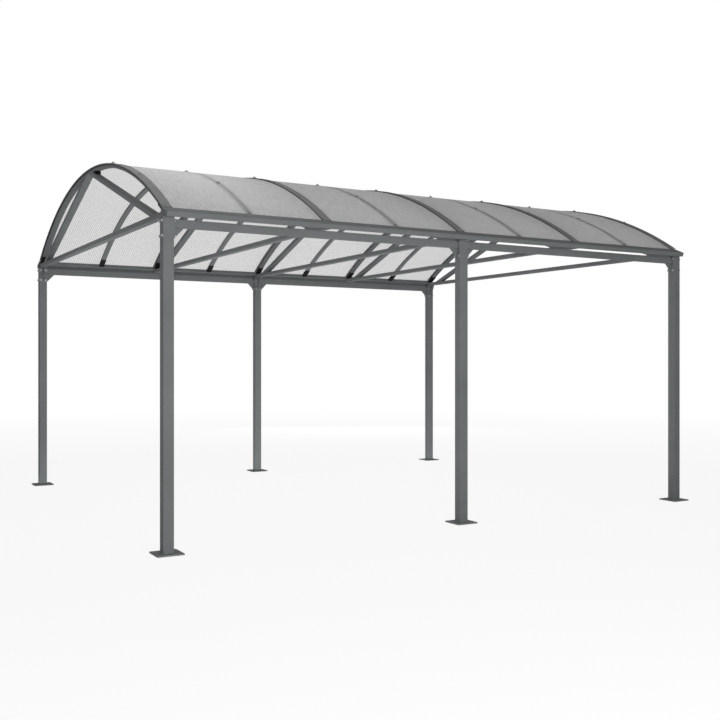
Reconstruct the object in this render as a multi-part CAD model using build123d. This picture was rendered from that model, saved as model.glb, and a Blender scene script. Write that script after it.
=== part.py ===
from build123d import *
from math import asin, cos, degrees, radians, sin, sqrt
import os

# Open bike shelter: two bays of square posts, five trussed arches and a barrel roof of clear sheet.
# Millimetres. X runs along the shelter, Y across it (front at -Y), Z is up from the ground.

# Plan of the posts
bay_length = 2570.0
post_span = 4275.0

# Posts and base plates
post_side = 80.0
post_wall = 3.0
post_corner = 6.0
post_head = 2395.0
head_plate = 5.0
plate_side = 200.0
plate_thickness = 10.0
plate_corner = 10.0
anchor_pitch = 150.0
anchor_hole = 14.0

# Lower beams
beam_height = 60.0
beam_width = 40.0
beam_wall = 2.5
beam_corner = 4.0
beam_drop = 17.0

# Welded brackets on the posts: a flange with a sloping web, under the beams and under the ties
flange_width = 70.0
flange_thickness = 5.0
web_thickness = 6.0
web_reach = 85.0
web_fall = 74.0
web_toe = 12.0

# Barrel roof: strips over sheets over arches, rising from the eaves to the crown of the sheets
roof_rise = 623.0
strip_width = 70.0
strip_height = 7.0
strip_wall = 2.5
sheet_thickness = 6.0
sheet_joint = 6.0
arch_depth = 25.0
arch_width = 50.0
arch_wall = 2.0
arch_corner = 4.0

# Eave purlins, tilted tubes along both sides
purlin_width = 110.0
purlin_depth = 40.0
purlin_wall = 3.0
purlin_corner = 6.0
purlin_tilt = 23.0
purlin_inset = 10.0
purlin_lip = 10.5
purlin_overhang = 40.0
cap_thickness = 15.0
cap_round = 5.0

# Ties on the post heads and the straight struts of the trusses
tie_depth = 40.0
tie_width = 60.0
tie_wall = 3.0
tie_corner = 5.0
tie_past_post = 15.0
strut_heel_inset = 257.5
strut_aim = 22.0
strut_gap = 2.0

# Length by which every cutting block runs past what it cuts
overrun = 50.0

# Stations along the shelter
bays = ("left", "right")
post_names = ("left", "middle", "right")
post_x = [-bay_length, 0, bay_length]
arch_pitch = bay_length / 4
main_x = [-bay_length, -bay_length / 2, 0, bay_length / 2, bay_length]
rib_x = [x + arch_pitch for x in main_x[:-1]]
row_y = post_span / 2
end_x = bay_length + purlin_overhang

# Levels of the posts, ties and beams
tie_top = post_head + tie_depth
beam_top = post_head - beam_drop
beam_under = beam_top - beam_height

# Upper inner edge of the rear purlin, whose outer lip hangs a little below the post heads
tilt = radians(purlin_tilt)
eave_y = row_y - purlin_inset
eave_z = post_head - purlin_lip + purlin_width * sin(tilt) + purlin_depth * cos(tilt)

# Radii of the roof about its axis: the sheets' upper faces pass through both eave edges
sheet_top = (eave_y**2 + roof_rise**2) / (2 * roof_rise)
roof_axis_z = eave_z + roof_rise - sheet_top
strip_top = sheet_top + strip_height
arch_top = sheet_top - sheet_thickness
arch_under = arch_top - arch_depth
crown_height = roof_axis_z + strip_top
half_sweep = degrees(asin((eave_y + overrun) / arch_under))

# Frame of the rear purlin: origin on its upper inner edge, x down the slope, y out of its upper face
purlin_plane = Plane((0, eave_y, eave_z), x_dir=(0, cos(tilt), -sin(tilt)), z_dir=(1, 0, 0))

os.makedirs("parts", exist_ok=True)
nodes = {}


def tube_profile(width, height, wall, corner):
    """Section of a square or oblong tube with rounded corners."""
    outside = RectangleRounded(width, height, corner)
    inside = RectangleRounded(width - 2 * wall, height - 2 * wall, corner - wall)
    return outside - inside


def both_rows(rear):
    """The rear piece and its mirror image in the front row."""
    return {"rear": rear, "front": mirror(rear, about=Plane.XZ)}


def ring(profile, radius):
    """Sweeps a section with its middle at the crown round the axis of the roof, past both eaves."""
    crown = Plane((0, 0, roof_axis_z + radius), x_dir=(1, 0, 0), z_dir=(0, -1, 0))
    axis = Axis((0, 0, roof_axis_z), (1, 0, 0))
    return revolve(crown * profile, axis, revolution_arc=2 * half_sweep).rotate(axis, -half_sweep)


# Posts: square tubes standing on their base plates, closed by a plate in the head
post_tube = tube_profile(post_side, post_side, post_wall, post_corner)
post_shaft = Pos(0, row_y, plate_thickness) * extrude(post_tube, post_head - plate_thickness)
head_outline = RectangleRounded(post_side, post_side, post_corner)
post = post_shaft + Pos(0, row_y, post_head - head_plate) * extrude(head_outline, head_plate)
for name, x in zip(post_names, post_x):
    for row, piece in both_rows(Pos(x, 0, 0) * post).items():
        nodes[f"post_{row}_{name}"] = piece

# Base plates: one square plate with four anchor holes under each post
plate_outline = RectangleRounded(plate_side, plate_side, plate_corner)
anchor_holes = GridLocations(anchor_pitch, anchor_pitch, 2, 2) * Circle(anchor_hole / 2)
plate = Pos(0, row_y, 0) * extrude(plate_outline - anchor_holes, plate_thickness)
for row, pieces in both_rows(Compound([Pos(x, 0, 0) * plate for x in post_x])).items():
    nodes[f"base_plates_{row}"] = pieces

# Lower beams: oblong tubes between the flanges of their end brackets
beam_clear = bay_length - post_side
beam_length = beam_clear - 2 * flange_thickness
beam_tube = tube_profile(beam_width, beam_height, beam_wall, beam_corner)
beam_start = Plane((-beam_length / 2, row_y, beam_top - beam_height / 2), x_dir=(0, 1, 0), z_dir=(1, 0, 0))
beam = extrude(beam_start * beam_tube, beam_length)
for side, x in zip(bays, (-bay_length / 2, bay_length / 2)):
    for row, piece in both_rows(Pos(x, 0, 0) * beam).items():
        nodes[f"beam_{row}_{side}"] = piece


def bracket(web_top):
    """Flange on a post's face at x = 0, its web reaching along +X under a member at the given level."""
    low = beam_under - web_fall
    flange = Pos(0, 0, low) * Box(
        flange_thickness, flange_width, post_head - low, align=(Align.MIN, Align.CENTER, Align.MIN)
    )
    outline = Polygon((0, web_top), (web_reach, web_top), (web_toe, low), (0, low), align=None)
    web = extrude(Plane.XZ * outline, web_thickness / 2, both=True)
    return flange + web


# Corner brackets: under the beam ends, one or two to a post
corner = Pos(post_side / 2, row_y, 0) * bracket(beam_under)
corner_back = mirror(corner, about=Plane.YZ)
corners = [Pos(x, 0, 0) * corner for x in post_x[:-1]] + [Pos(x, 0, 0) * corner_back for x in post_x[1:]]
for row, pieces in both_rows(Compound(corners)).items():
    nodes[f"corner_brackets_{row}"] = pieces

# Knee brackets: the same on the inner face of each post, under its tie
knee = Pos(0, row_y - post_side / 2, 0) * Rot(0, 0, -90) * bracket(post_head)
for row, pieces in both_rows(Compound([Pos(x, 0, 0) * knee for x in post_x])).items():
    nodes[f"knee_brackets_{row}"] = pieces

# Eave purlins with a moulded cap on each end, rounded off round its outer face
tube_length = 2 * (end_x - cap_thickness)
purlin_spot = Pos(purlin_width / 2, -purlin_depth / 2, -tube_length / 2)
purlin_tube = tube_profile(purlin_width, purlin_depth, purlin_wall, purlin_corner)
purlin = extrude(purlin_plane * purlin_spot * purlin_tube, tube_length)
for row, piece in both_rows(purlin).items():
    nodes[f"eave_purlin_{row}"] = piece

cap_outline = RectangleRounded(purlin_width, purlin_depth, purlin_corner)
left_cap = extrude(purlin_plane * purlin_spot * Pos(0, 0, -cap_thickness) * cap_outline, cap_thickness)
left_cap = fillet(left_cap.faces().sort_by(Axis.X)[0].edges(), cap_round)
rear_caps = Compound([left_cap, mirror(left_cap, about=Plane.YZ)])
for row, pieces in both_rows(rear_caps).items():
    nodes[f"purlin_caps_{row}"] = pieces

# Cutting blocks: all that lies past the inner faces of the purlins, and the purlins' full sections
cut_length = 2 * (end_x + overrun)
cut_height = 2 * (crown_height + overrun)
past_eave = Pos(cut_height / 2, 0, -cut_length / 2) * Rectangle(cut_height, cut_height)
eave_cut = extrude(purlin_plane * past_eave, cut_length)
eave_cuts = [eave_cut, mirror(eave_cut, about=Plane.XZ)]
seat_outline = Pos(purlin_width / 2, -purlin_depth / 2, -cut_length / 2) * Rectangle(purlin_width, purlin_depth)
purlin_seat = extrude(purlin_plane * seat_outline, cut_length)
purlin_seats = [purlin_seat, mirror(purlin_seat, about=Plane.XZ)]
below_tie_top = Pos(0, 0, tie_top) * Box(
    cut_length, cut_height, cut_height, align=(Align.CENTER, Align.CENTER, Align.MAX)
)

# Ties: level tubes across the post heads, their ends mitred to the underside of the purlins
tie_length = 2 * (row_y + tie_past_post)
tie_start = Plane((0, -tie_length / 2, post_head + tie_depth / 2), x_dir=(1, 0, 0), z_dir=(0, 1, 0))
tie_blank = extrude(tie_start * tube_profile(tie_width, tie_depth, tie_wall, tie_corner), tie_length)
tie = tie_blank - purlin_seats

# Arches and ribs: the same bent tube, butted to the purlins; an arch also stands on its tie
arch_tube = tube_profile(arch_width, arch_depth, arch_wall, arch_corner)
rib = ring(arch_tube, arch_top - arch_depth / 2) - eave_cuts
arch = rib - below_tie_top

# Struts: two straight tubes from the crown down to the tie, cut to the underside of the arch
strut_heel = row_y - strut_heel_inset
peak_z = roof_axis_z + arch_under + strut_aim
strut_rise = peak_z - tie_top
strut_line = sqrt(strut_heel**2 + strut_rise**2)
strut_up = (0, -strut_heel / strut_line, strut_rise / strut_line)
strut_foot = Plane((0, strut_heel, tie_top), x_dir=(1, 0, 0), z_dir=strut_up)
strut_tube = tube_profile(tie_width, tie_depth, tie_wall, tie_corner)
strut_past = tie_depth * strut_line / strut_rise
strut_blank = extrude(strut_foot * Pos(0, 0, -strut_past) * strut_tube, strut_line + 2 * strut_past)
inside_arch = extrude(Plane.YZ * Pos(0, roof_axis_z) * Circle(arch_under), tie_width, both=True)
other_half = Pos(0, strut_gap / 2, 0) * Box(
    cut_length, cut_height, cut_height, align=(Align.CENTER, Align.MAX, Align.CENTER)
)
rear_strut = (strut_blank & inside_arch) - other_half - below_tie_top
struts = Compound([rear_strut, mirror(rear_strut, about=Plane.XZ)])

for number, x in enumerate(main_x, start=1):
    nodes[f"tie_{number}"] = Pos(x, 0, 0) * tie
    nodes[f"arch_{number}"] = Pos(x, 0, 0) * arch
    nodes[f"struts_{number}"] = Pos(x, 0, 0) * struts
for number, x in enumerate(rib_x, start=1):
    nodes[f"rib_{number}"] = Pos(x, 0, 0) * rib

# Roof sheets: one curved sheet per half bay, meeting over the middle of each main arch
sheet_middle = sheet_top - sheet_thickness / 2
for number, (x_from, x_to) in enumerate(zip(main_x[:-1], main_x[1:]), start=1):
    x_low = x_from + sheet_joint / 2
    x_high = x_to - sheet_joint / 2
    if x_from == main_x[0]:
        x_low = x_from - arch_width / 2
    if x_to == main_x[-1]:
        x_high = x_to + arch_width / 2
    sheet = ring(Rectangle(x_high - x_low, sheet_thickness), sheet_middle) - eave_cuts
    nodes[f"roof_sheet_{number}"] = Pos((x_low + x_high) / 2, 0, 0) * sheet

# Cover strips: shallow folded channels bent over the sheet joints, standing on their two edges
strip_outside = Rectangle(strip_width, strip_height)
strip_inside = Pos(0, -strip_wall / 2) * Rectangle(strip_width - 2 * strip_wall, strip_height - strip_wall)
strip = ring(strip_outside - strip_inside, strip_top - strip_height / 2) - eave_cuts
nodes["cover_strips"] = Compound([Pos(x, 0, 0) * strip for x in main_x])

for name, shape in nodes.items():
    export_step(shape, f"parts/{name}.step")
print(len(nodes), "nodes")
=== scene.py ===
# %% [markdown]
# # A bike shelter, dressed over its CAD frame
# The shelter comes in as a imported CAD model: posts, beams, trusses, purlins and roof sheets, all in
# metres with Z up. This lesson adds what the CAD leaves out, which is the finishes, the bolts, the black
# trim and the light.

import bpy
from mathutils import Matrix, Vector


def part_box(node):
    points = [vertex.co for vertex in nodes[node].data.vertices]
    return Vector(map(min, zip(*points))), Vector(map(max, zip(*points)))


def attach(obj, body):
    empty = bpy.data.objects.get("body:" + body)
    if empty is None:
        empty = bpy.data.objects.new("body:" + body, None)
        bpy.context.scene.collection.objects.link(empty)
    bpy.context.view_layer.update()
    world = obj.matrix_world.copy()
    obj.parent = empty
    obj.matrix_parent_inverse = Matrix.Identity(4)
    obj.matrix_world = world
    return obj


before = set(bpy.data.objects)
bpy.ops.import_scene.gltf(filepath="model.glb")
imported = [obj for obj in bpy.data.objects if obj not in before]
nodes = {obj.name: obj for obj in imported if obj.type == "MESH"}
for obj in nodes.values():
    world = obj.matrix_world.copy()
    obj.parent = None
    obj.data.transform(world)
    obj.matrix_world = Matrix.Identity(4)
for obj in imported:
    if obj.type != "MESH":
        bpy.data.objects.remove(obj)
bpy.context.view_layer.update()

# %% [markdown]
# Colours are written as the hex values that a picker shows. Shader sockets want linear light, so one
# function converts them. Lengths on the shelter are written in millimetres, as on a drawing, and
# multiplied by MM. The studio round it is given in metres.

# %% Colours and lengths
import math

import bmesh
import bpy
from mathutils import Matrix, Vector

MM = 0.001


def linear(hex_colour):
    """An sRGB hex colour as linear RGBA."""
    parts = [int(hex_colour[i : i + 2], 16) / 255 for i in (1, 3, 5)]
    return [c / 12.92 if c <= 0.04045 else ((c + 0.055) / 1.055) ** 2.4 for c in parts] + [1.0]


print("mid grey is", round(linear("#808080")[0], 3), "in linear light")

# %% [markdown]
# A material is a tree of small nodes. One helper adds a node, sets its properties, and links or sets its
# inputs in a single call, so that a recipe reads from top to bottom. The others are the steps that come
# back in every recipe: moving a value to another range, mixing two colours, and soft random patches.

# %% Shader nodes
def add(tree, kind, inputs=None, **settings):
    """Adds a node; an input that is a socket gets linked, and any other value is set."""
    node = tree.nodes.new(kind)
    for name, value in settings.items():
        setattr(node, name, value)
    for name, value in (inputs or {}).items():
        if isinstance(value, bpy.types.NodeSocket):
            tree.links.new(value, node.inputs[name])
        else:
            node.inputs[name].default_value = value
    return node


def new_material(name):
    """A material with an empty tree."""
    material = bpy.data.materials.new(name)
    material.use_nodes = True
    material.node_tree.nodes.clear()
    return material, material.node_tree


def rescale(tree, value, start=(0.0, 1.0), end=(0.0, 1.0)):
    """Moves a value from one range to another and holds it at the ends."""
    limits = {"From Min": start[0], "From Max": start[1], "To Min": end[0], "To Max": end[1]}
    return add(tree, "ShaderNodeMapRange", {"Value": value, **limits}).outputs["Result"]


def blend(tree, factor, first, second):
    """A colour between two others."""
    mix = add(tree, "ShaderNodeMix", {"Factor": factor, "A": first, "B": second}, data_type="RGBA")
    return mix.outputs["Result"]


def patches(tree, place, size, detail):
    """Soft random patches of about the given size."""
    noise = add(tree, "ShaderNodeTexNoise", {"Vector": place, "Scale": 1 / size, "Detail": detail})
    return noise.outputs["Fac"]


# %% [markdown]
# The frame is mild steel tube with a matt grey powder coat. Powder melts into a skin with a slight drift
# of tone along each length. Each corner gets a paler line, part thin coat and part painted highlight.
# The drift is two close greys laid out by soft patches. A corner could be painted by hand, but a rounded
# normal finds it on any shape: where it leans away from the true normal, there is an edge.

# %% Tone and corners of a powder coat
DRIFT = 350 * MM
DRIFT_DETAIL = 3.0
DRIFT_SPAN = (0.3, 0.7)
EDGE = 4 * MM
EDGE_SAMPLES = 4
EDGE_LEAN = (0.995, 0.85)


def drifting_tone(tree, place, deep, base):
    """Two close tones that drift into each other."""
    ramp = add(tree, "ShaderNodeValToRGB", {"Fac": patches(tree, place, DRIFT, DRIFT_DETAIL)})
    for element, position, colour in zip(ramp.color_ramp.elements, DRIFT_SPAN, (deep, base)):
        element.position = position
        element.color = linear(colour)
    return ramp.outputs["Color"]


def thin_coat_and_highlight_corner(tree):
    """0 on a flat face, up to 1 on a corner."""
    rounded = add(tree, "ShaderNodeBevel", {"Radius": EDGE}, samples=EDGE_SAMPLES).outputs["Normal"]
    flat = add(tree, "ShaderNodeNewGeometry").outputs["Normal"]
    lean = add(tree, "ShaderNodeVectorMath", {0: rounded, 1: flat}, operation="DOT_PRODUCT")
    return rescale(tree, lean.outputs["Value"], EDGE_LEAN)


print("tone drifts over", DRIFT, "m, and corners pale over", EDGE, "m")

# %% [markdown]
# The skin of a powder coat has a faint orange-peel texture. It is really about 2 mm across, too fine to
# show from ten metres, so it is drawn at 7 mm, as bump and as a small change of roughness. A matt coat
# has almost no sheen, so its reflection is set low. The cover strips and the base plates have the same
# coat, painted in paler greys as lit copies, because their faces look up where little light falls.

# %% Powder-coated steel
PEEL = 7 * MM
PEEL_DETAIL = 2.0
PEEL_DEPTH = 1 * MM
PEEL_STRENGTH = 0.06
ROUGH_SPREAD = 0.05
COAT_IOR = 1.5
COAT_SHEEN = 0.02


def bumped(tree, height, strength, depth):
    """A normal that follows a pattern of heights."""
    bump = add(tree, "ShaderNodeBump", {"Height": height, "Strength": strength, "Distance": depth})
    return bump.outputs["Normal"]


def plain_face(tree, colour, roughness, normal, ior, sheen):
    """The shader of a painted, moulded or rolled face."""
    skin_inputs = {"Base Color": colour, "Roughness": roughness, "Normal": normal}
    shine_inputs = {"IOR": ior, "Specular IOR Level": sheen}
    return add(tree, "ShaderNodeBsdfPrincipled", {**skin_inputs, **shine_inputs}).outputs["BSDF"]


def powder_coat(name, base, deep, edge, roughness):
    """Powder coat: drifting tones, paler corners (thin coat and painted highlight) and orange peel."""
    material, tree = new_material(name)
    place = add(tree, "ShaderNodeTexCoord").outputs["Object"]
    # the third grey paints the corners paler: part thin coat, part painted highlight
    coat = blend(tree, thin_coat_and_highlight_corner(tree), drifting_tone(tree, place, deep, base), linear(edge))
    peel = patches(tree, place, PEEL, PEEL_DETAIL)
    normal = bumped(tree, peel, PEEL_STRENGTH, PEEL_DEPTH)
    rough = rescale(tree, peel, end=(roughness - ROUGH_SPREAD, roughness + ROUGH_SPREAD))
    face = plain_face(tree, coat, rough, normal, COAT_IOR, COAT_SHEEN)
    add(tree, "ShaderNodeOutputMaterial", {"Surface": face})
    return material


frame_coat = powder_coat("powder_coated_steel_grey", "#7c7f80", "#757879", "#8a8c8d", roughness=0.75)
# strips and plates are lit copies of the frame coat, painted paler to stand in for light
strip_coat_lit_copy = powder_coat("powder_coated_steel_strip_lit_copy", "#8a8b8b", "#828383", "#989999", roughness=0.7)
plate_coat_lit_copy = powder_coat("powder_coated_steel_plate_lit_copy", "#898c8d", "#808384", "#9a9c9d", roughness=0.75)
print("powder coats:", frame_coat.name, strip_coat_lit_copy.name, plate_coat_lit_copy.name)

# %% [markdown]
# The roof is a barrel: every sheet, arch and strip is bent round one axis that runs along the shelter.
# The axis isn't in the model, but the chord and the rise of one sheet give its height and the radius.
# The pattern of the sheets and the trim on them are laid out from these two values.

# %% The barrel of the roof
sheet_low, sheet_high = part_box("roof_sheet_1")
half_chord = (sheet_high.y - sheet_low.y) / 2
rise = sheet_high.z - sheet_low.z
barrel_radius = (half_chord**2 + rise**2) / (2 * rise)
axis_height = sheet_high.z - barrel_radius
print("barrel radius", round(barrel_radius, 3), "axis height", round(axis_height, 3))

# %% [markdown]
# The sheets are polycarbonate, rolled with a fine pattern of small lenses that breaks up the view
# through them. The lattice could be modelled, but it would take millions of faces, so it is a shader
# pattern that follows the sheet: one coordinate runs along the shelter and the other is the angle about
# the roof's axis. Two sets of slanting waves, multiplied, make diamonds. Such lenses are about 10 mm
# apart, finer than the render can hold, so the lattice is drawn at 20 mm.

# %% Lens lattice
LENS = 20 * MM


def calc(tree, operation, first, second=0.0):
    """One step of arithmetic on sockets or numbers."""
    return add(tree, "ShaderNodeMath", {0: first, 1: second}, operation=operation).outputs[0]


def roof_place(tree):
    """Place on the roof: metres along the shelter, and the angle about the axis."""
    place = add(tree, "ShaderNodeTexCoord").outputs["Object"]
    spot = add(tree, "ShaderNodeSeparateXYZ", {"Vector": place}).outputs
    above_axis = calc(tree, "SUBTRACT", spot["Z"], axis_height)
    return spot["X"], calc(tree, "ARCTAN2", spot["Y"], above_axis)


def diamond_lenses(tree, x, angle):
    """A diamond lattice of lenses, from -1 to 1."""
    along = calc(tree, "MULTIPLY", x, math.pi / LENS)
    around = calc(tree, "MULTIPLY", angle, math.pi * barrel_radius / LENS)
    first = calc(tree, "SINE", calc(tree, "ADD", along, around))
    second = calc(tree, "SINE", calc(tree, "SUBTRACT", along, around))
    return calc(tree, "MULTIPLY", first, second)


print("lenses along one sheet:", round((sheet_high.x - sheet_low.x) / LENS))

# %% [markdown]
# The upper side is mostly seen at a slant, where diamonds of 20 mm would blur away. So the lenses are
# drawn 150 mm long round the barrel there, much longer than real ones, and a faint unevenness is added
# that stands for the light they scatter.

# %% Lenses on the upper side
LONG_LENS = 150 * MM
LONG_SHARE = 0.5
MOTTLE = 14 * MM
LONG_MOTTLE = 110 * MM
MOTTLE_DETAIL = 2.0
MOTTLE_SHARE = 0.6


def long_lenses(tree, x, angle):
    """A weaker lattice with lenses drawn out round the barrel."""
    columns = calc(tree, "SINE", calc(tree, "MULTIPLY", x, 2 * math.pi / LENS))
    rows = calc(tree, "SINE", calc(tree, "MULTIPLY", angle, 2 * math.pi * barrel_radius / LONG_LENS))
    return calc(tree, "MULTIPLY", calc(tree, "MULTIPLY", columns, rows), LONG_SHARE)


def scatter(tree, x, angle):
    """Uneven patches, narrow along the shelter and long round the barrel."""
    patch_x = calc(tree, "MULTIPLY", x, 1 / MOTTLE)
    patch_y = calc(tree, "MULTIPLY", angle, barrel_radius / LONG_MOTTLE)
    patch = add(tree, "ShaderNodeCombineXYZ", {"X": patch_x, "Y": patch_y}).outputs["Vector"]
    one_patch = 1.0
    mottle = patches(tree, patch, one_patch, MOTTLE_DETAIL)
    return rescale(tree, mottle, end=(-MOTTLE_SHARE, MOTTLE_SHARE))


print("upper lenses are drawn", round(LONG_LENS / LENS, 1), "times as long as wide")

# %% [markdown]
# From below the sheet is mostly clear. From above, looking along its face, it turns grey, because the
# lenses hide what lies behind. Layer Weight gives that slant, and on the upper side it drives how opaque
# the sheet is. Which side is seen follows from the face's own normal: it points up on the upper side.

# %% Opacity of a sheet
CLEAR_SIDE = 0.32
ALONG_FACE = 0.95
SLANT_BLEND = 0.5
SLANT_SPAN = (0.5, 0.7)
SPECKLE = 0.18
FULL_WAVE = (-1.0, 1.0)


def choose(tree, switch, first, second):
    """The first value where the switch is 0, the second where it is 1."""
    return add(tree, "ShaderNodeMix", {"Factor": switch, "A": first, "B": second}).outputs["Result"]


def upper_side(tree):
    """1 on a face that looks up, 0 on one that looks down."""
    normal = add(tree, "ShaderNodeNewGeometry").outputs["Normal"]
    return calc(tree, "GREATER_THAN", add(tree, "ShaderNodeSeparateXYZ", {"Vector": normal}).outputs["Z"])


def sheet_opacity(tree, upper, dots):
    """How much of the view the sheet hides, with a speckle from the lenses."""
    slant = add(tree, "ShaderNodeLayerWeight", {"Blend": SLANT_BLEND}).outputs["Facing"]
    veil = rescale(tree, slant, SLANT_SPAN, (CLEAR_SIDE, ALONG_FACE))
    speckle = rescale(tree, dots, FULL_WAVE, (-SPECKLE, SPECKLE))
    return calc(tree, "ADD", choose(tree, upper, CLEAR_SIDE, veil), speckle)


print("opacity from", CLEAR_SIDE, "to", ALONG_FACE)

# %% [markdown]
# A clear sheet with true refraction is slow to render and shows little more at this distance. Here a
# matt face, a share of light that soaks through, and plain transparency are mixed instead. The lenses
# tint the sheet between two pale greys and stand out a little as bump.

# %% Embossed polycarbonate
LATTICE_SPAN = (-0.7, 0.7)
LENS_DEPTH = 0.5 * MM
LENS_STRENGTH = 0.25
SHEET_ROUGH = 0.6
SHEET_IOR = 1.585
SHEET_SHEEN = 0.04
SOAK = 0.35


def embossed_sheet(name, clear, lens):
    """Clear sheet with lenses in its colour, its opacity and its bump."""
    material, tree = new_material(name)
    x, angle = roof_place(tree)
    dots = diamond_lenses(tree, x, angle)
    outer = calc(tree, "ADD", long_lenses(tree, x, angle), scatter(tree, x, angle))
    upper = upper_side(tree)
    tone = rescale(tree, choose(tree, upper, dots, outer), LATTICE_SPAN)
    colour = blend(tree, tone, linear(clear), linear(lens))
    normal = bumped(tree, dots, LENS_STRENGTH, LENS_DEPTH)
    face = plain_face(tree, colour, SHEET_ROUGH, normal, SHEET_IOR, SHEET_SHEEN)
    soaked = add(tree, "ShaderNodeBsdfTranslucent", {"Color": colour}).outputs["BSDF"]
    milky = add(tree, "ShaderNodeMixShader", {"Fac": SOAK, 1: face, 2: soaked}).outputs["Shader"]
    through = add(tree, "ShaderNodeBsdfTransparent", {"Color": linear("#ffffff")}).outputs["BSDF"]
    opacity = sheet_opacity(tree, upper, dots)
    sheet = add(tree, "ShaderNodeMixShader", {"Fac": opacity, 1: through, 2: milky})
    add(tree, "ShaderNodeOutputMaterial", {"Surface": sheet.outputs["Shader"]})
    return material


roof_clear = embossed_sheet("polycarbonate_embossed_clear", "#dddcdd", "#a9a8a9")
print("sheet finish:", roof_clear.name)

# %% [markdown]
# The purlin ends are closed with moulded polypropylene caps, and the trim on the roof is black rubber,
# which also serves as painted shade at the feet, the strut heads and the strip edges.
# Both have an even colour with a fine grain from the mould or the die and no drift of tone, so one recipe
# serves for both. Such grain is well under 1 mm, too fine to show, so it is drawn at 3 mm.

# %% Moulded caps and rubber
GRAIN = 3 * MM
GRAIN_DETAIL = 4.0
GRAIN_DEPTH = 0.3 * MM
GRAIN_STRENGTH = 0.2
MOULDED_ROUGH = 0.6
MOULDED_IOR = 1.49
MOULDED_SHEEN = 0.1


def moulded(name, colour, dark):
    """Moulded plastic or rubber: even colour with a fine grain."""
    material, tree = new_material(name)
    place = add(tree, "ShaderNodeTexCoord").outputs["Object"]
    grain = patches(tree, place, GRAIN, GRAIN_DETAIL)
    tone = blend(tree, grain, linear(dark), linear(colour))
    normal = bumped(tree, grain, GRAIN_STRENGTH, GRAIN_DEPTH)
    face = plain_face(tree, tone, MOULDED_ROUGH, normal, MOULDED_IOR, MOULDED_SHEEN)
    add(tree, "ShaderNodeOutputMaterial", {"Surface": face})
    return material


cap_plastic = moulded("polypropylene_moulded_grey", "#606263", "#585a5b")
# this black is also the painted shade on the foot shoes, the strut plugs and the bead laps
black_rubber_and_shade = moulded("rubber_black_and_painted_shade", "#1e1e1f", "#171718")
print("moulded finishes:", cap_plastic.name, black_rubber_and_shade.name)

# %% [markdown]
# The bracket bolts are zinc-plated steel, a pale metal with faint crystalline mottling. Cells of a
# Voronoi pattern look like the crystals, and they change the colour and the roughness together. They are
# drawn 4 mm wide, much coarser than real crystals, which would not show on a bolt head at this distance.

# %% Zinc-plated bolts
SPANGLE = 4 * MM
ZINC_ROUGH = (0.3, 0.5)


def zinc_plate(name, pale, dull):
    """Zinc-plated steel, mottled where the crystals catch the light."""
    material, tree = new_material(name)
    place = add(tree, "ShaderNodeTexCoord").outputs["Object"]
    spangle = add(tree, "ShaderNodeTexVoronoi", {"Vector": place, "Scale": 1 / SPANGLE}).outputs["Distance"]
    tone = blend(tree, spangle, linear(pale), linear(dull))
    rough = rescale(tree, spangle, end=ZINC_ROUGH)
    metal_inputs = {"Base Color": tone, "Metallic": 1.0, "Roughness": rough}
    shader = add(tree, "ShaderNodeBsdfPrincipled", metal_inputs)
    add(tree, "ShaderNodeOutputMaterial", {"Surface": shader.outputs["BSDF"]})
    return material


bolt_zinc = zinc_plate("zinc_plated_steel", "#96989a", "#7d7f82")
print("bolt finish:", bolt_zinc.name)

# %% [markdown]
# Each CAD node keeps its mesh, so only its material slots change. The node names say what a piece is,
# and the first match in this list gives its finish; everything else is the grey frame.

# %% Finish the CAD nodes
finishes = {
    "roof_sheet": roof_clear,
    "cover_strips": strip_coat_lit_copy,
    "base_plates": plate_coat_lit_copy,
    "purlin_caps": cap_plastic,
}
for name, node in nodes.items():
    finish = next((m for start, m in finishes.items() if name.startswith(start)), frame_coat)
    node.data.materials.clear()
    node.data.materials.append(finish)
print("finished", len(nodes), "nodes")

# %% [markdown]
# The added pieces are all made the same way: equal rings of vertices, joined into a closed skin. The
# skin then becomes a mesh, gets its finish, and rides with the frame as one named piece. Pieces of one
# kind share a mesh.

# %% Pieces from rings
def skin(bm, rings):
    """Joins equal rings of vertices into a closed form with flat ends."""
    count = len(rings[0])
    for low, high in zip(rings, rings[1:]):
        for i in range(count):
            j = (i + 1) % count
            bm.faces.new((low[i], low[j], high[j], high[i]))
    bm.faces.new(list(reversed(rings[0])))
    bm.faces.new(rings[-1])


def add_piece(name, bm, material):
    """Turns a bmesh into a named piece that rides with the frame."""
    bmesh.ops.recalc_face_normals(bm, faces=bm.faces)
    mesh = bpy.data.meshes.new(name)
    bm.to_mesh(mesh)
    bm.free()
    mesh.materials.append(material)
    piece = bpy.data.objects.new(name, mesh)
    bpy.context.scene.collection.objects.link(piece)
    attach(piece, "root")
    print(name, len(mesh.polygons), "faces")
    return piece


# %% [markdown]
# Screws and bolts have a hexagon head with a chamfered top on a round washer. A turned outline, given as
# radius and height pairs, makes both: with six sides it is the head, with many sides the washer.

# %% Turned shapes and a bolt
HEAD_SIDES = 6
HEAD_CORNER = 0.92
HEAD_CHAMFER = (0.85, 0.8)
WASHER_SIDES = 20
WASHER_CHAMFER = (0.9, 0.6)


def turned(bm, outline, sides, place):
    """Adds a solid of revolution with the given number of sides, standing on the place's Z axis."""
    rings = []
    for radius, height in outline:
        ring = []
        for i in range(sides):
            turn = 2 * math.pi * i / sides
            corner = Vector((radius * math.cos(turn), radius * math.sin(turn), height))
            ring.append(bm.verts.new(place @ corner))
        rings.append(ring)
    skin(bm, rings)


def chamfered(radius, height, chamfer):
    """Outline of a disc whose top edge is cut back to shares of its radius and height."""
    return [(radius, 0), (radius, height * chamfer[1]), (radius * chamfer[0], height)]


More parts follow.
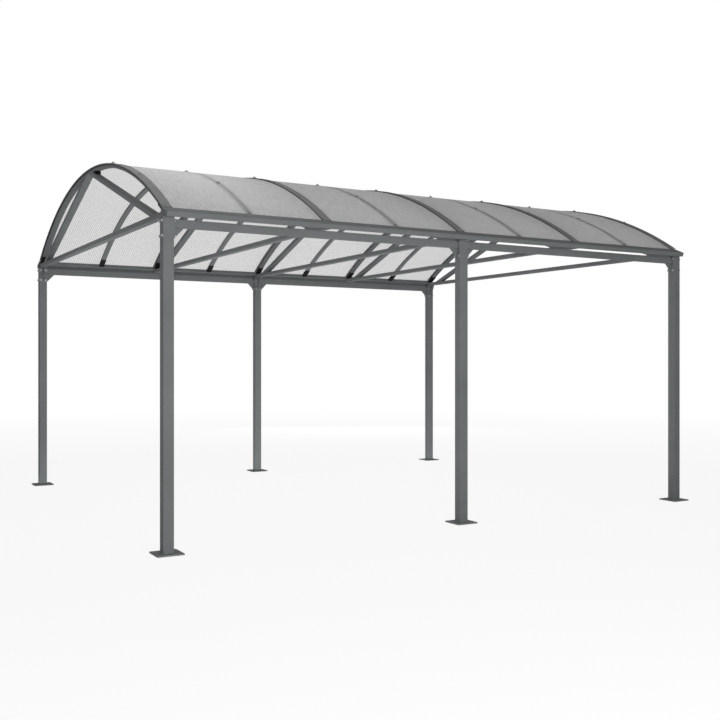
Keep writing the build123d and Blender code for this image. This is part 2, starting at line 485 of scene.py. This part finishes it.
def hex_bolt(bm, place, size, head, washer, rim):
    """A bolt head of the given thread size on a washer with the given rim radius."""
    turned(bm, chamfered(rim, washer, WASHER_CHAMFER), WASHER_SIDES, place)
    on_washer = place @ Matrix.Translation((0, 0, washer))
    turned(bm, chamfered(size * HEAD_CORNER, head, HEAD_CHAMFER), HEAD_SIDES, on_washer)


# %% [markdown]
# The roof is held by screws with broad sealing washers. They stand in a line round the barrel on each
# arch and rib, at three places on either side of the crown, the last just above the eaves. On an arch
# they bear on the cover strip, on a rib on the sheet. Their heads are coated like the strips.

# %% Roof screws
SCREW = 10 * MM
SCREW_HEAD = 8 * MM
SADDLE = 20 * MM
SADDLE_RISE = 6 * MM
SCREW_ARCS = [735 * MM, 1517 * MM, 2230 * MM]


def middle_x(name):
    """The middle of a node's box along the shelter."""
    low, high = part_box(name)
    return (low.x + high.x) / 2


strip_low, strip_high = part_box("cover_strips")
strip_top = barrel_radius + (strip_high.z - sheet_high.z)
arch_lines = [middle_x(name) for name in nodes if name.startswith("arch_")]
rib_lines = [middle_x(name) for name in nodes if name.startswith("rib_")]
roof_screws = bmesh.new()
for lines, top in ((arch_lines, strip_top), (rib_lines, barrel_radius)):
    for x in lines:
        on_axis = Matrix.Translation((x, 0, axis_height))
        for arc in [-a for a in SCREW_ARCS] + SCREW_ARCS:
            turn = arc / barrel_radius
            place = on_axis @ Matrix.Rotation(-turn, 4, "X") @ Matrix.Translation((0, 0, top))
            hex_bolt(roof_screws, place, SCREW, SCREW_HEAD, SADDLE_RISE, SADDLE)
add_piece("roof_screws", roof_screws, strip_coat_lit_copy)

# %% [markdown]
# Each bracket flange is held to its post by four bolts, in two rows. Their places are taken from the
# boxes of the brackets and the posts, so the bolts stay on the flanges if those move.

# %% Places of the bracket bolts
FLANGE_THICK = 5 * MM
TOP_ROW = 33 * MM
LOW_ROW = 11 * MM
BOLT_INSET = 11 * MM
bracket_low, bracket_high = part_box("corner_brackets_front")
post_low, post_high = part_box("post_front_left")
rear_low, rear_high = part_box("post_rear_left")
post_half = (post_high.x - post_low.x) / 2
flange_face = post_half + FLANGE_THICK
bolt_out = (bracket_high.y - bracket_low.y) / 2 - BOLT_INSET
row_heights = (bracket_high.z - TOP_ROW, bracket_low.z + LOW_ROW)
four_bolts = [(z, across) for z in row_heights for across in (-bolt_out, bolt_out)]
post_lines = sorted(middle_x(name) for name in nodes if name.startswith("post_front"))
row_lines = [(post_low.y + post_high.y) / 2, (rear_low.y + rear_high.y) / 2]
print("bolt rows at", [round(z, 3) for z in row_heights], "on posts at", [round(x, 3) for x in post_lines])

# %% [markdown]
# Every post has flanges on its sides along the row and one on its inner face. An end post has no bracket
# on its outer side, and the bolts come through on the bare face of the post there.

# %% Bracket bolts
BOLT = 12 * MM
BOLT_HEAD = 8 * MM
BOLT_WASHER = 2.5 * MM
BOLT_RIM = 13.5 * MM
QUARTER = math.radians(90)
bracket_bolts = bmesh.new()


def outermost(x, side, lines):
    """True on the outer side of the first or the last of a row of lines."""
    return (x == lines[0] and side < 0) or (x == lines[-1] and side > 0)


def bracket_bolt(spot, turn, axis):
    """One bolt at a spot, turned to stand out of the face."""
    place = Matrix.Translation(spot) @ Matrix.Rotation(turn, 4, axis)
    hex_bolt(bracket_bolts, place, BOLT, BOLT_HEAD, BOLT_WASHER, BOLT_RIM)


for x in post_lines:
    for y in row_lines:
        for side in (-1, 1):
            stand = post_half if outermost(x, side, post_lines) else flange_face
            for z, across in four_bolts:
                bracket_bolt((x + side * stand, y + across, z), QUARTER * side, "Y")
        inward = -1 if y > 0 else 1
        for z, across in four_bolts:
            bracket_bolt((x + across, y + inward * flange_face, z), -QUARTER * inward, "X")
add_piece("bracket_bolts", bracket_bolts, bolt_zinc)

# %% [markdown]
# Rubber trim runs round the barrel. A curve with a bevel would do it too, but a small outline, given as
# places along the shelter and radii from the roof's axis and carried round in short steps, stays a plain
# mesh that lies exactly on the sheets.

# %% Shapes bent round the barrel
SHEET_THICK = 6 * MM
sheet_under = barrel_radius - SHEET_THICK
half_turn = math.asin(half_chord / barrel_radius)


def bent(bm, outline, start, end, steps):
    """Carries an outline of (x, radius) pairs round the roof's axis, closed at both ends."""
    rings = []
    for step in range(steps + 1):
        turn = start + (end - start) * step / steps
        spots = [(x, r * math.sin(turn), axis_height + r * math.cos(turn)) for x, r in outline]
        rings.append([bm.verts.new(spot) for spot in spots])
    skin(bm, rings)


print("the sheets turn", round(math.degrees(half_turn), 2), "degrees to either side of the crown")

# %% [markdown]
# Each cover strip beds on the sheet with a black rubber bead. Its lap over the strip's edge is painted
# shade on the strip's flank. At the two ends of the roof a rubber channel closes the edge of the sheet
# instead, part seal and part painted shadow under the strip's overhang.

# %% Rubber beads and painted edge shade along the strips
BEAD = 5 * MM
SHADE_LAP = 13 * MM
BEAD_SKIN = 1.5 * MM
BEAD_STEPS = 48
strip_half = (strip_high.x - strip_low.x - (arch_lines[-1] - arch_lines[0])) / 2
sheet_end = arch_lines[0] - sheet_low.x
skin_top = strip_top + BEAD_SKIN
channel_under = sheet_under - BEAD / 2


def bead_and_flank_shade(x, side):
    """Outline of a bead beside a strip, with a lap over its edge that is painted shade."""
    edge = x + side * strip_half
    outer = edge + side * BEAD
    lap = edge - side * SHADE_LAP
    beside = [(edge, barrel_radius), (outer, barrel_radius), (outer, strip_top)]
    over = [(edge, skin_top), (lap, skin_top), (lap, strip_top), (edge, strip_top)]
    return beside + over


def channel_and_overhang_shade(x, side):
    """Outline of the channel on the end of the roof, part seal and part painted shadow."""
    near = x + side * sheet_end
    far = x + side * (sheet_end + BEAD)
    return [(near, channel_under), (far, channel_under), (far, barrel_radius), (near, barrel_radius)]


# the beads are part real gasket and part painted shade along the strips
beads_and_edge_shade = bmesh.new()
for x in arch_lines:
    for side in (-1, 1):
        shape = channel_and_overhang_shade if outermost(x, side, arch_lines) else bead_and_flank_shade
        bent(beads_and_edge_shade, shape(x, side), -half_turn, half_turn, BEAD_STEPS)
add_piece("beads_and_edge_shade", beads_and_edge_shade, black_rubber_and_shade)

# %% [markdown]
# The feet of the arches and ribs lie in deep shade where they meet the purlins. That shade is painted
# with black shoes, short troughs round the feet. A shoe is the rib's own section with a thin wall round
# three sides, bent like the rib.

# %% Black shoes as painted shade on the feet
SHOE = 125 * MM
SHOE_WALL = 1 * MM
SHOE_STEPS = 4
RIB_DEPTH = 25 * MM
rib_under = sheet_under - RIB_DEPTH
shoe_under = rib_under - SHOE_WALL


def trough(left, right):
    """Outline of a shoe round a rib between two places along the shelter."""
    out_left = left - SHOE_WALL
    out_right = right + SHOE_WALL
    left_wall = [(out_left, sheet_under), (out_left, shoe_under)]
    right_wall = [(out_right, shoe_under), (out_right, sheet_under)]
    inside = [(right, sheet_under), (right, rib_under), (left, rib_under), (left, sheet_under)]
    return left_wall + right_wall + inside


# black shoes paint the deep shade at the feet of the arches and ribs
foot_shade_shoes = bmesh.new()
for name in nodes:
    if name.startswith(("arch_", "rib_")):
        low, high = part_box(name)
        foot = math.asin(high.y / sheet_under)
        shoe_top = foot - SHOE / barrel_radius
        for side in (-1, 1):
            bent(foot_shade_shoes, trough(low.x, high.x), side * shoe_top, side * foot, SHOE_STEPS)
add_piece("foot_shade_shoes", foot_shade_shoes, black_rubber_and_shade)

# %% [markdown]
# At the head of each truss the corner between the front strut and the arch lies in deep shade. A black
# plug fills it as painted shade. Its side view is a wedge with a bulging outer face, worked out from where
# the strut's upper face meets the arch, and carried across the strut's width.

# %% Black plugs as painted shade at the strut heads
HEAD_OUT = 132 * MM
PLUG = 95 * MM
PLUG_BULGE = 6 * MM
PLUG_INSET = 2 * MM
plug_out = HEAD_OUT + PLUG
head_z = axis_height + math.sqrt(rib_under**2 - HEAD_OUT**2)
arch_z = axis_height + math.sqrt(rib_under**2 - plug_out**2)
# black plugs paint the deep shade in the corner under each arch
strut_shade_plugs = bmesh.new()
for name in nodes:
    if name.startswith("struts_"):
        low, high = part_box(name)
        slope = (head_z - low.z) / (-low.y - HEAD_OUT)
        strut_z = head_z - slope * PLUG
        bulge = (-plug_out - PLUG_BULGE, (arch_z + strut_z) / 2)
        wedge = [(-HEAD_OUT, head_z), (-plug_out, arch_z), bulge, (-plug_out, strut_z)]
        sides = (low.x + PLUG_INSET, high.x - PLUG_INSET)
        skin(strut_shade_plugs, [[strut_shade_plugs.verts.new((x, y, z)) for y, z in wedge] for x in sides])
add_piece("strut_shade_plugs", strut_shade_plugs, black_rubber_and_shade)

# %% [markdown]
# The camera stands where the picture was taken: to the left in front of the shelter, near eye height and
# level, about ten metres from its middle. Its place and lens were solved from the feet and edges of the
# six posts.

# %% Camera
CAMERA_PLACE = (-4.710, -8.597, 1.380)
CAMERA_TILT = -0.0005
CAMERA_YAW = -0.5226
CAMERA_LENS = 46.97
SENSOR = 36
camera_data = bpy.data.cameras.new("camera")
camera_data.lens = CAMERA_LENS
camera_data.sensor_width = SENSOR
camera = bpy.data.objects.new("camera", camera_data)
camera.location = CAMERA_PLACE
camera.rotation_euler = (math.radians(90) + CAMERA_TILT, 0, CAMERA_YAW)
bpy.context.scene.collection.objects.link(camera)
bpy.context.scene.camera = camera
print("camera at", tuple(round(v, 2) for v in camera.location))

# %% [markdown]
# The floor is a wide pale sheet that runs out of sight. It is staged, so it belongs to the picture and
# not to the shelter.

# %% Floor
FLOOR = 60.0
floor_corners = [(-FLOOR, -FLOOR, 0), (FLOOR, -FLOOR, 0), (FLOOR, FLOOR, 0), (-FLOOR, FLOOR, 0)]
floor_mesh = bpy.data.meshes.new("floor")
floor_mesh.from_pydata(floor_corners, [], [(0, 1, 2, 3)])
floor = bpy.data.objects.new("floor", floor_mesh)
bpy.context.scene.collection.objects.link(floor)
print("floor", 2 * FLOOR, "m square")

# %% [markdown]
# On the rays that look at the backdrop the floor glows, so that it ends up nearly white, and it still
# takes the soft shadow of the shelter. Further out it fades into the white behind it, and no line shows
# where it ends. Light that bounces about sees only the paper.

# %% Floor finish
NEAR_GLOW = 0.9
FULL_GLOW = 1.0
FADE = (5.0, 16.0)
WHITE = linear("#ffffff")


def shows_backdrop(tree):
    """1 on the rays that look at the backdrop: straight, in a gloss, or through something clear."""
    path = add(tree, "ShaderNodeLightPath").outputs
    seen = calc(tree, "MAXIMUM", path["Is Camera Ray"], path["Is Glossy Ray"])
    return calc(tree, "MAXIMUM", seen, path["Is Transmission Ray"])


floor_paper, tree = new_material("floor_paper")
paper = add(tree, "ShaderNodeBsdfDiffuse", {"Color": linear("#f6f6f6")}).outputs["BSDF"]
glow = add(tree, "ShaderNodeEmission", {"Color": WHITE, "Strength": FULL_GLOW}).outputs["Emission"]
place = add(tree, "ShaderNodeTexCoord").outputs["Object"]
distance = add(tree, "ShaderNodeVectorMath", {0: place}, operation="LENGTH").outputs["Value"]
fade = rescale(tree, distance, FADE, (NEAR_GLOW, FULL_GLOW))
share = calc(tree, "MULTIPLY", shows_backdrop(tree), fade)
lift = add(tree, "ShaderNodeMixShader", {"Fac": share, 1: paper, 2: glow})
add(tree, "ShaderNodeOutputMaterial", {"Surface": lift.outputs["Shader"]})
floor_mesh.materials.append(floor_paper)
print("floor fades from", FADE[0], "to", FADE[1], "m")

# %% [markdown]
# The light is a plain white studio. A dim dome, brightest at the horizon, lights all sides evenly, and on
# the rays that look at the backdrop it is white.

# %% Dome
HORIZON = 0.64
ZENITH = 0.04
world = bpy.data.worlds.new("studio")
bpy.context.scene.world = world
world.use_nodes = True
tree = world.node_tree
tree.nodes.clear()
direction = add(tree, "ShaderNodeTexCoord").outputs["Generated"]
height = add(tree, "ShaderNodeSeparateXYZ", {"Vector": direction}).outputs["Z"]
dome_level = rescale(tree, height, end=(HORIZON, ZENITH))
backdrop = calc(tree, "MAXIMUM", dome_level, shows_backdrop(tree))
dome = add(tree, "ShaderNodeBackground", {"Color": WHITE, "Strength": backdrop})
add(tree, "ShaderNodeOutputWorld", {"Surface": dome.outputs["Background"]})
print("dome from", HORIZON, "at the horizon to", ZENITH, "overhead")

# %% [markdown]
# A wide soft lamp stands in front of the left end and another behind the right end, so that front and
# back both read. A small lamp reaches in under the left gable, another hangs over the left bay, which
# makes that end of the roof the brightest, and a broad fill on the floor lifts the undersides. Some of
# them stand inside the picture. The camera doesn't see a lamp unless it is told to, so they may.

# %% Lamps
def soft_lamp(name, size, watts, place, target=None, turn=(0, 0, 0)):
    """A soft box, either pointed at a target or turned from pointing straight down."""
    data = bpy.data.lights.new(name, "AREA")
    data.shape = "RECTANGLE"
    data.size, data.size_y = size
    data.energy = watts
    lamp = bpy.data.objects.new(name, data)
    lamp.location = place
    if target:
        turn = (Vector(target) - lamp.location).to_track_quat("-Z", "Y").to_euler()
    lamp.rotation_euler = turn
    bpy.context.scene.collection.objects.link(lamp)
    print(name, watts, "W")


soft_lamp("soft_box", size=(4.0, 2.0), watts=222, place=(-2.8, -8.8, 1.9), target=(-0.6, 0.0, 2.0))
soft_lamp("rear_box", size=(4.0, 2.0), watts=160, place=(5.0, 8.4, 1.7), target=(0.6, 0.0, 2.0))
soft_lamp("gable_lamp", size=(2.0, 2.4), watts=12, place=(-3.6, -0.3, 1.2), target=(-2.0, -0.6, 2.8))
soft_lamp("roof_lamp", size=(0.8, 1.4), watts=10, place=(-2.2, -1.5, 3.9))
soft_lamp("floor_fill", size=(5.6, 4.2), watts=66, place=(0.1, 0.3, 0.02), turn=(math.pi, 0, 0))
bpy.context.scene.view_settings.view_transform = "Standard"
